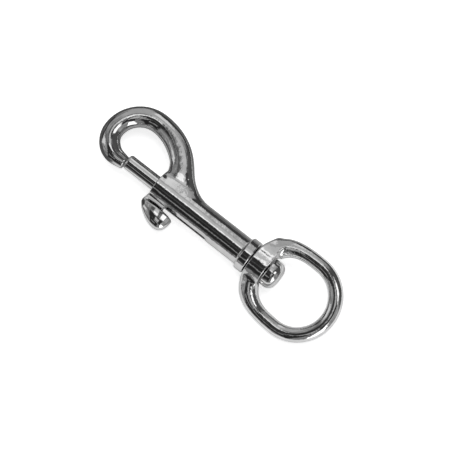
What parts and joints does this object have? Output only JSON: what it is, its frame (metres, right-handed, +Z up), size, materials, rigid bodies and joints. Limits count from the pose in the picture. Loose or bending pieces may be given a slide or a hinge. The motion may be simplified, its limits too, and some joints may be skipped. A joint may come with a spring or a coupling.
{
  "type": "swivel snap hook",
  "caption": "Bright plated bolt snap: a cast hook closed by a sprung sliding bolt with a thumb lever, and a round eye that swivels on a riveted stud.",
  "frame": {"origin": "under the middle of the part's box, on the surface that it lies on", "axes": "+X from the hook to the eye along the barrel, +Y from the barrel to the hook's bow, away from the thumb lever, +Z up"},
  "size_m": [0.0994, 0.0342, 0.0117],
  "materials": {
    "plated_body": "bright nickel plate over a polished zinc casting",
    "plated_bolt": "bright nickel plate over a polished zinc casting",
    "spring_steel": "drawn spring wire",
    "plated_stud": "bright nickel plate over turned steel",
    "plated_eye": "bright nickel plate over a polished zinc casting"
  },
  "bodies": {
    "body": {"hook_body": "plated_body", "spring": "spring_steel", "swivel_stud": "plated_stud"},
    "bolt": {"bolt": "plated_bolt"},
    "eye": {"swivel_eye": "plated_eye"}
  },
  "joints": [
    {"name": "bolt_slide", "type": "slide", "parent": "body", "child": "bolt", "axis": [1, 0, 0], "range_m": [0, 0.0134], "stiffness_N_per_m": 350, "springref_m": -0.007, "deforming": ["spring"]},
    {"name": "eye_swivel", "type": "hinge", "parent": "body", "child": "eye", "pos_m": [0.01648, -0.00293, 0.00585], "axis": [1, 0, 0], "continuous": true}
  ]
}
